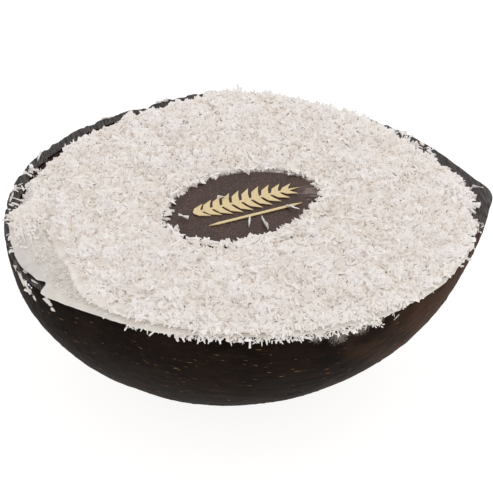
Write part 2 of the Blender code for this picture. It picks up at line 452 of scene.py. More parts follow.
# %% Camera
VIEW_HEADING = math.radians(-8)
VIEW_RISE = math.radians(34.5)
VIEW_DISTANCE = 0.900
AIM_LOW = math.radians(0.517)
LENS = 246.7


def direction(heading, rise):
    """The direction at a heading and a rise above the floor, both in radians."""
    return Vector((math.cos(heading) * math.cos(rise), math.sin(heading) * math.cos(rise), math.sin(rise)))


target = Vector((-0.8 * MM, -4.25 * MM, RIM))
away = direction(VIEW_HEADING - math.radians(90), VIEW_RISE)
camera = bpy.data.objects.new("camera", bpy.data.cameras.new("camera"))
bpy.context.scene.collection.objects.link(camera)
camera.data.lens = LENS
camera.data.sensor_width = 36.0
camera.data.clip_start = 0.05
camera.location = target + away * VIEW_DISTANCE
aim = (-away).to_track_quat("-Z", "Y") @ Matrix.Rotation(-AIM_LOW, 3, "X").to_quaternion()
camera.rotation_mode = "QUATERNION"
camera.rotation_quaternion = aim
bpy.context.scene.camera = camera
print("camera at", [round(c, 3) for c in camera.location])

# %% [markdown]
# The light is a studio's: a white room all round, a large soft lamp high on the right and behind, a
# weaker one on the left, and a pale floor bright enough to fade into white. Light passes between
# white shreds many times before it comes out, so it may bounce more often than usual.

# %% Floor and room
bpy.ops.mesh.primitive_plane_add(size=6.0)
floor = bpy.context.object
floor.name = "floor"
floor_finish = Finish("floor_white", roughness=0.9, specular=0.0)
floor_finish.shader.inputs["Base Color"].default_value = (0.25, 0.25, 0.25, 1.0)
floor_finish.shader.inputs["Emission Color"].default_value = (1.0, 0.99, 0.98, 1.0)
floor_finish.shader.inputs["Emission Strength"].default_value = 0.90
floor.data.materials.append(floor_finish.material)

room = bpy.data.worlds.new("white_room")
bpy.context.scene.world = room
room.use_nodes = True
room.node_tree.nodes["Background"].inputs["Color"].default_value = (1.0, 0.968, 0.952, 1.0)
room.node_tree.nodes["Background"].inputs["Strength"].default_value = 0.79
bpy.context.scene.view_settings.view_transform = "Standard"
bpy.context.scene.cycles.max_bounces = 24
bpy.context.scene.cycles.diffuse_bounces = 20
print("floor and room in place")


# %% Lamps
def add_lamp(name, heading, rise, distance, size, power):
    """A square soft lamp that points at the dessert. Degrees are from the camera's right, turning left."""
    towards_lamp = direction(math.radians(heading) + VIEW_HEADING, math.radians(rise))
    lamp = bpy.data.objects.new(name, bpy.data.lights.new(name, "AREA"))
    lamp.data.size = size
    lamp.data.energy = power
    lamp.location = target + towards_lamp * distance
    lamp.rotation_mode = "QUATERNION"
    lamp.rotation_quaternion = towards_lamp.to_track_quat("Z", "Y")
    bpy.context.scene.collection.objects.link(lamp)
    print(name, "of", power, "W,", distance, "m away")


add_lamp("key_lamp", heading=35, rise=48, distance=1.4, size=1.1, power=3)
add_lamp("fill_lamp", heading=160, rise=55, distance=1.6, size=1.4, power=1)

# %% [markdown]
# ## The shell
#
# A coconut's shell is woody and almost black, with long streaks where the husk grew on it, and the
# saw has left a greyer, slightly ragged rim. The copy of the node is rounded, then its outside gets
# more faces, so that a slow unevenness and the rim's chips are real shape and not only shading. No
# nut is a smooth bowl: this one stands out a little at its pointed end and on its right shoulder.

# %% Shape the shell
CHIPPED = 1.6 * MM
BULGE = 1.3 * MM
SAWN_LEVEL = 1.0 * MM


def bowl_normal(point):
    return Vector((point.x, point.y, 0)).normalized()


def is_outside(point, normal):
    outwards = Vector((point.x, point.y, min(point.z - RIM, 0) * 1.2))
    return normal.dot(outwards) > 0 or point.z > RIM - 1.2 * MM


def chipping(point, depth):
    """How far the saw has broken the outer edge back. The pointed end has hardly a chip."""
    ragged = noise.noise(Vector((point.x, point.y, 0)) / (4 * MM))
    ragged += 0.5 * noise.noise(Vector((point.x, point.y, 9)) / (1.5 * MM))
    chip = max(ragged + 0.1, 0) * 0.9 * MM * max(0.0, 1 - depth / CHIPPED)
    chip *= 1 - 0.8 * near_heading(heading_of(point), POINTED_RIM)
    return chip * (1 + 0.7 * near_heading(heading_of(point), BACK_LEFT_RIM))


def bulging(point, normal, depth):
    """How far the shell stands out, most at the rim and less the deeper under it."""
    heading, reach = heading_of(point), reach_of(point)
    tip = near_heading(heading, TIP, 7) * smoothly(1 - depth / (16 * MM))
    tip *= smoothly((reach - 60 * MM) / (4 * MM))
    shoulder = near_heading(heading, SHOULDER, 15) * smoothly(1 - depth / (26 * MM))
    shoulder *= is_outside(point, normal)
    if depth < 1.2 * MM:
        shoulder *= smoothly((reach - shell_reach(heading) + 3.4 * MM) / (2.4 * MM))
    return BULGE * (tip + shoulder)


def uneven_shell(point, normal):
    depth = RIM - point.z
    along_grain = Vector((point.x / (9 * MM), point.y / (1.6 * MM), point.z / (1.6 * MM)))
    swell = noise.noise(point / (14 * MM)) * 0.35 * MM + noise.noise(along_grain) * 0.16 * MM - 0.2 * MM
    if depth <= SAWN_LEVEL:
        swell *= 0.25
    chip = chipping(point, depth) if depth < CHIPPED and is_outside(point, normal) else 0.0
    outwards = bowl_normal(point - CORE) * (bulging(point, normal, depth) - chip)
    return normal * swell + outwards - UP * chip * 0.5


shell = rounded(merged_copy("coconut_shell", "shell"), 2)
edit_faces(shell, is_outside, lambda: bpy.ops.mesh.subdivide(number_cuts=1))
move_points(shell, uneven_shell)
smooth_all(shell)
count(shell)

# %% [markdown]
# Later steps put things on the shell's outside. `wall_at` finds a place there: a level ray comes in
# from far outside at a heading, this far under the rim, and meets the wall.

# %% Finding the wall
FAR_OUT = 90 * MM
shell_tree = BVHTree.FromObject(shell, bpy.context.evaluated_depsgraph_get())


def wall_at(heading, depth):
    """A place on the shell's outside, and its normal there."""
    outwards = direction(math.radians(heading), 0)
    place, normal, _, _ = shell_tree.ray_cast(CORE + outwards * FAR_OUT + UP * (RIM - depth), -outwards)
    return place, normal


print("wall on the left at", [round(c / MM, 1) for c in wall_at(180, 5 * MM)[0]])

# %% [markdown]
# Whoever filled the shell wiped a little cream down its wall on the left, and coconut has dusted it
# at the front. Both are too thin to be shape, so `smudged` paints them over any of the shell's
# finishes. A spot on the wall is a heading in degrees, then a depth under the rim and a radius, both
# in millimetres. Noise breaks the spots' outlines up.

# %% Smudges on the shell
WIPED_SPOTS = (
    (192, 0.2, 1.8), (194.5, 0.9, 1.8), (197, 1.6, 2.0), (199.5, 2.4, 2.2), (202, 3.4, 2.0),
    (203.5, 4.6, 1.5), (208.6, 1.6, 1.4), (209.2, 3.0, 1.7), (210, 4.6, 1.3),
)
DUSTED_SPOTS = ((-66, 1.5, 4.5), (-72, 2.5, 5.0), (-78, 1.5, 4.0), (-61, 1.2, 3.0))


def near_spots(finish, spots):
    """1 in the middle of each spot on the wall, and 0 outside them all."""
    together = None
    for heading, depth, radius in spots:
        near = finish.nearness(wall_at(heading, depth * MM)[0], radius * MM)
        together = near if together is None else together.or_more(near)
    return together


def smudged(finish, colour):
    uneven = finish.noise(1.3 * MM, detail=4, rough=0.6)
    fine = finish.noise(0.45 * MM, detail=3, rough=0.7)
    dusty = (near_spots(finish, DUSTED_SPOTS) * 0.6 + fine).above(0.86, 0.1) * 0.45
    wiped = (near_spots(finish, WIPED_SPOTS) * 0.7 + uneven).above(0.86, 0.1)
    return wiped.mix(dusty.mix(colour, linear(170, 160, 152)), linear(216, 210, 204))


# %% [markdown]
# The skin's colour is a very dark brown with long streaks, because the grain of the nut runs from end
# to end. Towards the pointed end, on the right, it is painted a lighter and warmer brown in patches:
# painted light, for the side of the shell that the light falls on. The noise is stretched along X for
# the streaks.

# %% Finish the skin
skin = Finish("shell_skin", roughness=0.62, specular=0.03)
streaks = skin.noise(1.1 * MM, detail=6, rough=0.62, stretch=(0.16, 1, 1))
patches = skin.noise(11 * MM, detail=3)
specks = skin.noise(0.5 * MM, detail=3, rough=0.7, stretch=(0.35, 1, 1))
towards_tip = skin.point.make("ShaderNodeSeparateXYZ", None, {0: skin.point}) * (1 / (60 * MM))
dark_skin = patches.above(0.5, 0.16).mix(linear(17, 10, 6), linear(27, 17, 11))
# Painted light: lighter, warmer brown in patches towards the pointed end, the side that the light falls on.
skin_with_painted_light = (towards_tip + patches - 0.5).above(0.52, 0.36).mix(dark_skin, linear(64, 44, 32))
streaked = (streaks.above(0.62, 0.07) * 0.5).mix(skin_with_painted_light, linear(54, 36, 24))
speckled = (specks.above(0.70, 0.03) * 0.6).mix(streaked, linear(92, 66, 42))
shell_skin = skin.finish_with(
    colour=smudged(skin, speckled),
    roughness=streaks * 0.25 + 0.48,
    height=streaks * 0.8 + specks * 0.4,
    depth=0.16 * MM,
)

# %% [markdown]
# The rim is cut across the grain, so its finish is greyer, and the saw's strokes show in it as fine
# parallel lines. The inner wall shows only where the filling has sunk. It is a paler, fibrous brown.

# %% Finish the sawn rim and the inner wall
sawn = Finish("sawn_rim", roughness=0.7, specular=0.2)
strokes = sawn.noise(0.35 * MM, detail=3, rough=0.6, stretch=(1, 0.06, 1), turn=(0, 0, 0.5))
pores = sawn.noise(0.6 * MM, detail=4, rough=0.7)
grey_wood = strokes.above(0.5, 0.12).mix(linear(48, 44, 43), linear(92, 89, 88))
sawn_rim = sawn.finish_with(
    colour=smudged(sawn, (pores.above(0.6, 0.08) * 0.7).mix(grey_wood, linear(34, 27, 23))),
    roughness=pores * 0.2 + 0.55,
    height=strokes + pores * 0.5,
    depth=0.08 * MM,
)

inner = Finish("inner_wall", roughness=0.7, specular=0.1)
inner_grain = inner.noise(0.8 * MM, detail=5, rough=0.65, stretch=(1, 1, 0.4))
inner_wall = inner.finish_with(
    colour=inner_grain.above(0.5, 0.15).mix(linear(50, 37, 34), linear(84, 68, 62)),
    roughness=inner_grain * 0.2 + 0.55,
    height=inner_grain,
    depth=0.1 * MM,
)

for finish in (shell_skin, sawn_rim, inner_wall):
    shell.data.materials.append(finish)
for polygon in shell.data.polygons:
    if polygon.normal.z > 0.6 and polygon.center.z > RIM - 1.5 * MM:
        polygon.material_index = 1
    elif not is_outside(polygon.center, polygon.normal):
        polygon.material_index = 2
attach(shell, "root")
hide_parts("coconut_shell")

# %% [markdown]
# ## The cream
#
# Only a smooth bank of the cream shows, at the left, where the grated coconut stops short of the rim.
# A knife has drawn it up into a low ridge and left a notch in its edge. The rounded copy gets both,
# with slow lumps all over, and the finish adds the fine unevenness of something that was frozen.

# %% Shape and finish the cream
RIDGE = 3.3 * MM
NOTCH = 2.6 * MM


def soft_lumps(point, normal):
    if point.z < RIM - 3 * MM:
        return (0, 0, 0)
    heading = heading_of(point)
    inwards = cream_reach(heading) - reach_of(point)
    lump = noise.noise(point / (9 * MM)) * 0.5 * MM + noise.noise(point / (2.5 * MM)) * 0.3 * MM
    ridge = RIDGE * near_heading(heading, BANK, 14) * smoothly(inwards / (5.5 * MM))
    ridge *= smoothly((9 * MM - inwards) / (3 * MM))
    notch = NOTCH * near_heading(heading, BANK_NOTCH, 3) * smoothly(1 - inwards / (4 * MM))
    outwards = bowl_normal(point - CORE) * (lapping(point) - notch)
    return normal * (lump - 0.25 * MM) + outwards + UP * (ridge - settling(point))


cream = rounded(merged_copy("coconut_cream", "cream"), 3)
move_points(cream, soft_lumps)
smooth_all(cream)
count(cream)

set_cream = Finish("set_cream", roughness=0.55, specular=0.2, subsurface=0.2, glow_depth=1.5 * MM)
clouds = set_cream.noise(5 * MM, detail=4)
# The cream's white is a little greyer than the coconut's: partly its own colour, and partly painted shade for
# the bank and lip, which lie in shade.
cream_finish = set_cream.finish_with(
    colour=clouds.above(0.5, 0.25).mix(linear(222, 217, 211), linear(238, 234, 229)),
    roughness=clouds * 0.2 + 0.45,
    height=set_cream.noise(1.1 * MM, detail=5, rough=0.65),
    depth=0.4 * MM,
)
cream.data.materials.append(cream_finish)
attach(cream, "root")
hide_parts("coconut_cream")

# %% [markdown]
# ## The chocolate plate
#
# The plate is an oval that lies a little turned. The longest axis of its node's points gives its
# heading, and the points' reach along and across that axis gives its size.

# %% Measure the plate
def middle_heading_and_size(node):
    """The middle of a node, its long axis's heading, and how long and wide it is as seen from above."""
    points = np.array([v.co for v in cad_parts[node].data.vertices])
    flat = points[:, :2] - points[:, :2].mean(0)
    axis = np.linalg.eigh(flat.T @ flat)[1][:, 1]
    low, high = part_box(node)
    length, width = np.ptp(flat @ axis), np.ptp(flat @ np.array([-axis[1], axis[0]]))
    return (low + high) / 2, math.atan2(axis[1], axis[0]), length, width


_, PLATE_HEADING, PLATE_LENGTH, PLATE_WIDTH = middle_heading_and_size("chocolate_medallion")
if math.cos(PLATE_HEADING) < 0:
    PLATE_HEADING -= math.copysign(math.pi, PLATE_HEADING)
print("plate %.1f x %.1f mm" % (PLATE_LENGTH / MM, PLATE_WIDTH / MM))
print("turned %.1f degrees" % math.degrees(PLATE_HEADING))

# %% [markdown]
# It is modelled as a cylinder squeezed to the oval, with its edge bevelled as chocolate comes out of a
# mould. Its top is inset into rings, which gives the few faint creases near its right end faces to
# bend.

# %% Model the plate
TOP_RINGS = 14


def inset_rings():
    for _ in range(TOP_RINGS):
        bpy.ops.mesh.inset(thickness=0.065)


bpy.ops.mesh.primitive_cylinder_add(vertices=128, radius=1, depth=PLATE_HIGH.z - PLATE_LOW.z)
plate = bpy.context.object
plate.name = "chocolate_plate"
edit_faces(plate, lambda middle, normal: normal.z > 0.9, inset_rings)
plate.scale = (PLATE_LENGTH / 2, PLATE_WIDTH / 2, 1)
plate.rotation_euler.z = PLATE_HEADING
plate.location = PLATE_MIDDLE
settle(plate)
moulded_edge = plate.modifiers.new("moulded_edge", "BEVEL")
moulded_edge.width = 0.5 * MM
moulded_edge.segments = 4
moulded_edge.limit_method = "ANGLE"
moulded_edge.angle_limit = math.radians(60)
apply_all(plate)

# %% [markdown]
# `on_plate` turns a place into shares of the plate's half length and half width, so that 1 is its
# edge whichever way it lies. The creases use it, and so do the shreds round the plate later.

# %% Crease the plate
CREASE_AT = 0.86
turn_plate = Matrix.Rotation(PLATE_HEADING, 3, "Z")


def on_plate(point):
    local = turn_plate.transposed() @ (Vector(point) - PLATE_MIDDLE)
    return local.x / (PLATE_LENGTH / 2), local.y / (PLATE_WIDTH / 2)


def plate_dents(point, normal):
    if normal.z < 0.5:
        return (0, 0, 0)
    along, across = on_plate(point)
    waves = noise.noise(point / (6 * MM)) * 0.05 * MM
    crease = math.exp(-((along - CREASE_AT) / 0.1) ** 2) * math.sin(across * 22 + along * 6) * 0.16 * MM
    return (0, 0, waves + crease - 0.08 * MM)


move_points(plate, plate_dents)
smooth_all(plate, 50)
count(plate)

# %% [markdown]
# Chocolate that has been in a freezer is satin and slightly mauve, and a dust of tiny pale crystals
# sits on it. Cells that are cut off close to their points give that dust. The creases at the right
# end have caught the light, as thin paler lines.

# %% Finish the plate
chocolate = Finish("dark_chocolate", roughness=0.4, specular=0.4)
bloom = chocolate.noise(6 * MM, detail=5, rough=0.6)
dust = 1 - chocolate.cells(0.5 * MM).above(0.30, 0.08)
fine = chocolate.noise(0.22 * MM, detail=3, rough=0.7)
brown = bloom.above(0.5, 0.2).mix(linear(54, 35, 29), linear(72, 50, 43))
dusted = (dust * fine.above(0.5, 0.06) * 0.8).mix(brown, linear(136, 114, 108))
right_end = PLATE_MIDDLE + turn_plate @ Vector((0.9 * PLATE_LENGTH / 2, 0, 0))
wrinkles = chocolate.noise(0.8 * MM, detail=2, stretch=(0.25, 1, 1), turn=(0, 0, -0.5))
# Painted highlight: thin paler lines along the creases near the right end, where they would catch the light.
crease_highlight = (chocolate.nearness(right_end, 7 * MM) * 0.5 + wrinkles).above(0.84, 0.05) * 0.6
chocolate_finish = chocolate.finish_with(
    colour=crease_highlight.mix(dusted, linear(150, 134, 128)),
    roughness=bloom * 0.3 + 0.3,
    height=fine * 0.6 + dust * 0.4,
    depth=0.03 * MM,
)
plate.data.materials.append(chocolate_finish)
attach(plate, "root")
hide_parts("chocolate_medallion")

# %% [markdown]
# The gold is a thin edible print. The CAD model already has its true shape, a palm frond over a thin
# rule, so those two nodes stay as they are and only get the finish.

# %% Finish the gold print
gold = Finish("gold_print", roughness=0.42, specular=0.6)
gold_grain = gold.noise(0.5 * MM, detail=4, rough=0.7)
gold_finish = gold.finish_with(
    colour=gold_grain.above(0.5, 0.2).mix(linear(218, 192, 138), linear(244, 226, 180)),
    roughness=gold_grain * 0.3 + 0.3,
    height=gold_grain,
    depth=0.03 * MM,
)
for name in ("gold_frond", "gold_rule"):
    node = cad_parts[name]
    node.data.materials.clear()
    node.data.materials.append(gold_finish)

# %% [markdown]
# ## Grated coconut
#
# Thousands of shreds lie on each other. First comes what they lie on: the node's copy, let down by
# about the thickness of the shreds and made lumpy, because grated coconut falls in small clumps.

# %% Shape the heap under the shreds
SHREDS_DEPTH = 0.65 * MM
CLUMP_HEIGHT = 1.2 * MM


def clumps(point):
    """High on a clump and low in the crease between two, from about -0.6 to 0.9."""
    flat = Vector((point[0], point[1], 0))
    return abs(noise.noise(flat / (6.0 * MM))) * 2.0 + abs(noise.noise(flat / (3.0 * MM))) * 0.9 - 0.65


def let_down(point, normal):
    if normal.z < -0.3:
        return (0, 0, -settling(point) - 0.5 * MM)
    inwards = bowl_normal(point - CORE) * min(lapping(point), 0)
    return inwards + UP * (clumps(point) * CLUMP_HEIGHT - SHREDS_DEPTH - settling(point))


heap = rounded(merged_copy("grated_coconut", "heap"), 2)
move_points(heap, let_down)
smooth_all(heap)
count(heap)

# %% [markdown]
# Each shred is a curved strip, 2 to 5 mm long and half a millimetre wide or a little more. Eight are
# modelled by hand: a bar is cut across in edit mode, its ends are narrowed, its corners are shaken a
# little, and Simple Deform twists and bends it. They have only a few dozen faces, because each is
# then laid down thousands of times. A row gives a shred's length, width and thickness in millimetres,
# and how far it is bent and twisted in degrees.

# %% Model the shreds
SHRED_SIZES = (
    (4.3, 0.58, 0.24, 38, 25),
    (3.8, 0.50, 0.22, -30, 60),
    (5.0, 0.54, 0.22, 60, -35),
    (3.2, 0.74, 0.26, 18, 20),
    (2.8, 0.56, 0.24, -24, 40),
    (4.2, 0.44, 0.20, 75, -60),
    (2.2, 0.80, 0.24, 20, 15),
    (4.7, 0.46, 0.22, -50, 80),
)


def model_shred(number, length, width, thick, bend, twist):
    bpy.ops.mesh.primitive_cube_add(size=1)
    shred = bpy.context.object
    shred.name = "shred_model_%d" % number

    def cut_and_narrow():
        bpy.ops.transform.resize(value=(length, width, thick))
        for cut in (-0.27, 0.0, 0.27):
            bpy.ops.mesh.select_all(action="SELECT")
            bpy.ops.mesh.bisect(plane_co=(cut * length, 0, 0), plane_no=(1, 0, 0))
        for end in (-1, 1):
            pick_vertices(shred, lambda place: place.x * end > 0.4 * length)
            narrow = 0.25 + 0.2 * ((number + end) % 3)
            bpy.ops.transform.resize(value=(1, narrow, 0.6), center_override=(end * length / 2, 0, 0))
        bpy.ops.mesh.select_all(action="SELECT")
        bpy.ops.transform.vertex_random(offset=0.08 * width, uniform=1.0, normal=0.0, seed=number)

    edit(shred, cut_and_narrow)
    for method, angle, axis in (("TWIST", twist, "X"), ("BEND", bend, "Y")):
        deform = shred.modifiers.new(method.lower(), "SIMPLE_DEFORM")
        deform.deform_method = method
        deform.deform_axis = axis
        deform.angle = math.radians(angle)
    return apply_all(shred)


shred_models = []
for number, (length, width, thick, bend, twist) in enumerate(SHRED_SIZES):
    shred_models.append(model_shred(number, length * MM, width * MM, thick * MM, bend, twist))
    print(shred_models[-1].name, [round(s / MM, 2) for s in shred_models[-1].dimensions])

# %% [markdown]
# A shred's place is a row of numbers: where it lies, which way is up there, its heading, how far one
# end is lifted, how far it is rolled, its size and its tone. `lay_down` works out all the rows at once
# with arrays, and gives one mesh in which every shred has its own faces.

# %% Laying down many copies as one piece
def turned(axis, angles):
    """Rotation matrices about X, Y or Z (0, 1 or 2), one for each angle."""
    c, s = np.cos(angles), np.sin(angles)
    turns = np.zeros((len(angles), 3, 3))
    first, second = (axis + 1) % 3, (axis + 2) % 3
    turns[:, axis, axis] = 1
    turns[:, first, first] = turns[:, second, second] = c
    turns[:, first, second] = -s
    turns[:, second, first] = s
    return turns


def standing_on(up):
    """Frames whose Z is the surface's way up and whose X is as near to the world's X as it can be."""
    up = up / np.linalg.norm(up, axis=1, keepdims=True)
    along = np.array([1.0, 0, 0]) - up * up[:, :1]
    along /= np.linalg.norm(along, axis=1, keepdims=True)
    return np.stack([along, np.cross(up, along), up], axis=2)


def lay_down(name, models, rows, finish):
    """rows: x, y, z, up x, up y, up z, heading, lift, roll, size, tone. None reaches above HIGHEST."""
    rows = np.asarray(rows, float)
    which = dice.integers(0, len(models), len(rows))
    turns = standing_on(rows[:, 3:6]) @ turned(2, rows[:, 6]) @ turned(1, -rows[:, 7]) @ turned(0, rows[:, 8])
    points, faces, tones, start = [], [], [], 0
    for number, model in enumerate(models):
        mine = which == number
        if not mine.any():
            continue
        shape = np.array([v.co for v in model.data.vertices])
        sides = np.array([tuple(p.vertices) for p in model.data.polygons])
        placed = np.einsum("nij,nkj->nki", turns[mine], rows[mine, 9, None, None] * shape)
        placed += rows[mine, None, :3]
        placed[..., 2] -= np.maximum(placed[..., 2].max(axis=1) - HIGHEST, 0)[:, None]
        firsts = start + np.arange(mine.sum()) * len(shape)
        points.append(placed.reshape(-1, 3))
        faces.append((firsts[:, None, None] + sides).reshape(-1, sides.shape[1]))
        tones.append(np.repeat(rows[mine, 10], len(shape)))
        start += mine.sum() * len(shape)
    mesh = bpy.data.meshes.new(name)
    mesh.from_pydata(np.concatenate(points), [], np.concatenate(faces))
    mesh.attributes.new("tone", "FLOAT", "POINT").data.foreach_set("value", np.concatenate(tones))
    mesh.materials.append(finish)
    piece = bpy.data.objects.new(name, mesh)
    bpy.context.scene.collection.objects.link(piece)
    smooth_all(piece, 50)
    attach(piece, "root")
    count(piece)
    return piece


# %% [markdown]
# The shreds' finish is nearly the same white for all. A shred in a hollow is painted a warmer, darker
# white: painted shade, for light that has passed through others before it gets there. So each carries
# a tone that mixes two whites, and the material reads it from the mesh as an attribute. The heap under
# them has one tone all over, lower than the shreds', as painted shade under them.

# %% Finish the shreds
def shred_finish(name, low, high):
    coconut = Finish(name, roughness=0.55, specular=0.05)
    grain = coconut.noise(0.5 * MM, detail=2)
    return coconut.finish_with(
        colour=(coconut.tone() + grain * 0.3 - 0.15).mix(low, high),
        roughness=grain * 0.2 + 0.45,
        height=grain,
        depth=0.02 * MM,
    )


coconut_finish = shred_finish("grated_coconut_white", linear(245, 240, 233), linear(254, 252, 251))
# Painted shade: the heap under the shreds has a lower tone than they do, a darker white.
heap_tones = [0.5] * len(heap.data.vertices)
heap.data.attributes.new("tone", "FLOAT", "POINT").data.foreach_set("value", heap_tones)
heap.data.materials.append(coconut_finish)
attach(heap, "root")
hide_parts("grated_coconut")

# %% [markdown]
# `ground` answers what lies under a place: it drops a ray onto the heap, and over the narrow gap round
# the plate it gives the plate's own level. `jittered` is a grid whose points are each moved a little,
# which covers evenly and shows no rows.
#
# Two places stay without shreds: the plate, whose near and left edges they lap over, and the lip at
# the front left, where the knife has pressed the coconut smooth.

# %% Where shreds can lie
heap_tree = BVHTree.FromObject(heap, bpy.context.evaluated_depsgraph_get())
cream_tree = BVHTree.FromObject(cream, bpy.context.evaluated_depsgraph_get())
ABOVE_ALL = 0.1
LIP_WIDTH = 2.8 * MM


def ground(x, y):
    """The level under a place, the way up there, and how far out it is in shares of the plate's reach."""
    along, across = on_plate((x, y, 0))
    reach = math.hypot(along, across)
    place, normal, _, _ = heap_tree.ray_cast(Vector((x, y, ABOVE_ALL)), -UP)
    if place is not None and place.z > CREAM_TOP - 2 * MM and normal.z > 0.3:
        return place.z, normal, reach
    if reach < 1.12:
        return PLATE_HIGH.z, UP, reach
    return None


def jittered(spacing):
    low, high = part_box("grated_coconut")
    across = np.arange(low.x, high.x, spacing)
    deep = np.arange(low.y, high.y, spacing)
    grid = np.stack(np.meshgrid(across, deep), -1).reshape(-1, 2)
    return grid + dice.uniform(-0.5, 0.5, grid.shape) * spacing


def is_plate(x, y, reach):
    """True over the bare plate. Its edge is ragged: wider behind on the right, narrower at its near right."""
    along, across = on_plate((x, y, 0))
    edge = 0.97 + noise.noise(Vector((x, y, 3 * MM)) / (3 * MM)) * 0.07
    edge += 0.09 * max(0.0, 0.75 * along + 0.66 * across)
    edge += 0.02 * max(0.0, 0.66 * across - 0.75 * along)
    edge += 0.03 * max(0.0, -along)
    edge += 0.02 * max(0.0, -0.7 * along - 0.6 * across)
    edge -= 0.13 * max(0.0, 0.5 * along - 0.8 * across) ** 2
    return reach < edge


def is_lip(x, y):
    heading = heading_of((x, y))
    ragged = 1 + 0.7 * noise.noise(Vector((x, y, 0)) / (3 * MM))
    return bed_reach(heading) - reach_of((x, y)) < LIP_WIDTH * near_heading(heading, SMOOTH_LIP, 14) * ragged


print("ground in front of the plate at %.1f mm" % (ground(CORE.x, CORE.y - 30 * MM)[0] / MM))

# %% [markdown]
# The shreds come in three layers, each higher, looser and whiter than the one under it, the lower ones
# darker as painted shade. A layer's row gives how far apart its shreds are, how high they lie over the
# heap at least and at most, all in millimetres, how far they tilt in degrees, the tone between clumps,
# which the creases between clumps lower as painted shade, and their size. A layer is cut into pieces,
# because a mesh of fewer than 200,000 triangles is easier to handle.

# %% Cover the heap
LAYERS = (
    (0.95, -0.05, 0.15, 6, 0.65, 1.0),
    (1.05, 0.12, 0.36, 9, 0.65, 1.0),
    (1.4, 0.28, 0.6, 11, 0.7, 1.1),
)
SHREDS_IN_PIECE = 5400
STEEPEST = 0.4


def scatter(spacing, low, high, tilt, tone_low, size):
    rows = []
    for x, y in jittered(spacing * MM):
        under = ground(x, y)
        if under is None or is_plate(x, y, under[2]) or is_lip(x, y):
            continue
        # Painted shade: a shred in a crease between clumps gets a lower tone, a darker and warmer white.
        tone = tone_low + 0.6 * clumps((x, y)) + dice.uniform(-0.1, 0.15)
        height = under[0] + dice.uniform(low, high) * MM
        lift = max(-STEEPEST, min(dice.normal(0, math.radians(tilt)), STEEPEST))
        heading, roll = dice.uniform(0, math.tau), dice.normal(0, 0.5)
        rows.append((x, y, height, *under[1], heading, lift, roll, dice.uniform(0.75, 1.1) * size, tone))
    return rows


for number, layer in enumerate(LAYERS, 1):
    rows = np.array(scatter(*layer))
    print("layer", number, "has", len(rows), "shreds")
    for part, some in enumerate(np.array_split(rows, 1 + len(rows) // SHREDS_IN_PIECE), 1):
        lay_down("shreds_%d_%d" % (number, part), shred_models, some, coconut_finish)

# %% [markdown]
# ## The edge of the heap
#
# The heap's outer edge is ragged. Shreds lie across it, tilted down outwards. Where the rim is bare
# they only reach out over it, and at the front some hang over the shell in a fuzzy lip.
#
# Three helpers make the rows. `row_at` is for a shred that points more or less outwards, and
# `row_any_way` for one that doesn't. `rim_shreds` makes a group on the rim, from ranges of numbers.

# %% Rows for single shreds
def row_at(heading, reach, height, turn, lift, tone, size):
    """A row at a heading round the core. turn is from pointing outwards, and lift raises its outer end."""
    along = math.radians(heading) + math.radians(turn)
    return (*spot_at(heading, reach), height, *UP, along, math.radians(lift), dice.normal(0, 0.6), size, tone)


def row_any_way(place, up, lift, roll, sizes, tones):
    """A row that points any way. lift and roll are spreads in radians, and the last two are ranges."""
    heading = dice.uniform(0, math.tau)
    tilt = (dice.normal(0, lift), dice.normal(0, roll))
    return (*place, *up, heading, *tilt, dice.uniform(*sizes), dice.uniform(*tones))


def edge_height(heading, reach):
    x, y = spot_at(heading, reach)
    under = ground(x, y)
    return under[0] if under else RIM + 0.9 * MM - settling((x, y))


def rim_shreds(amount, stretch, reach_at, outwards, levels, turn, lifts, tones, sizes):
    """Rows for shreds that lie on the rim. A pair gives the ends of a range, in mm or degrees."""
    for _ in range(amount):
        heading = dice.uniform(*stretch)
        reach = reach_at(heading) + dice.uniform(*outwards) * MM
        height = RIM + dice.uniform(*levels) * MM
        way = (dice.normal(0, turn), dice.uniform(*lifts))
        yield row_at(heading, reach, height, *way, dice.uniform(*tones), dice.uniform(*sizes))


def fringe_reach(heading):
    return max(bed_reach(heading) - 0.6 * MM, cream_reach(heading) + 0.4 * MM)


# %% [markdown]
# Most of the shreds lie all along the heap's edge, but few of them on the smooth lip and none on the
# bank. The groups on the rim are a fringe over its bare back left, a scatter on the saw cut at the
# back right, and short ones hanging at the front. The fuzzy lip is last: its shreds lean outwards.

# %% Shreds along the edge
EDGE_SHREDS = 1500
FUZZY_SHREDS = 340
RIM_GROUPS = (
    (60, (150, 190), fringe_reach, (-0.8, 0.9), (-0.8, 0.1), 30, (-4, 16), (0.5, 1.0), (0.6, 0.95)),
    (110, (20, 92), shell_reach, (-3.2, -0.6), (-0.4, 0.5), 45, (-15, 30), (0.5, 1.0), (0.6, 1.0)),
    (50, (-102, -12), shell_reach, (-1.2, 0.0), (-0.6, 0.6), 50, (-40, 0), (0.6, 1.0), (0.3, 0.6)),
)
edge_rows = []
for _ in range(EDGE_SHREDS):
    heading = dice.uniform(-172, 172)
    if near_heading(heading, BANK, 1) > 0.5 or dice.random() < 0.85 * near_heading(heading, SMOOTH_LIP, 10):
        continue
    bare = near_heading(heading, BACK_LEFT_RIM, 14)
    reach = bed_reach(heading) + dice.uniform(-2.4, 0.5 - 1.3 * bare) * MM
    height = edge_height(heading, reach - 0.5 * MM) + dice.uniform(0.0, 0.5) * MM
    turn, lift = dice.normal(0, 55), -abs(dice.normal(0, 18))
    tone = dice.uniform(0.5, 1.0)
    edge_rows.append(row_at(heading, reach, height, turn, lift, tone, dice.uniform(0.6, 1.0)))
for group in RIM_GROUPS:
    edge_rows.extend(rim_shreds(*group))
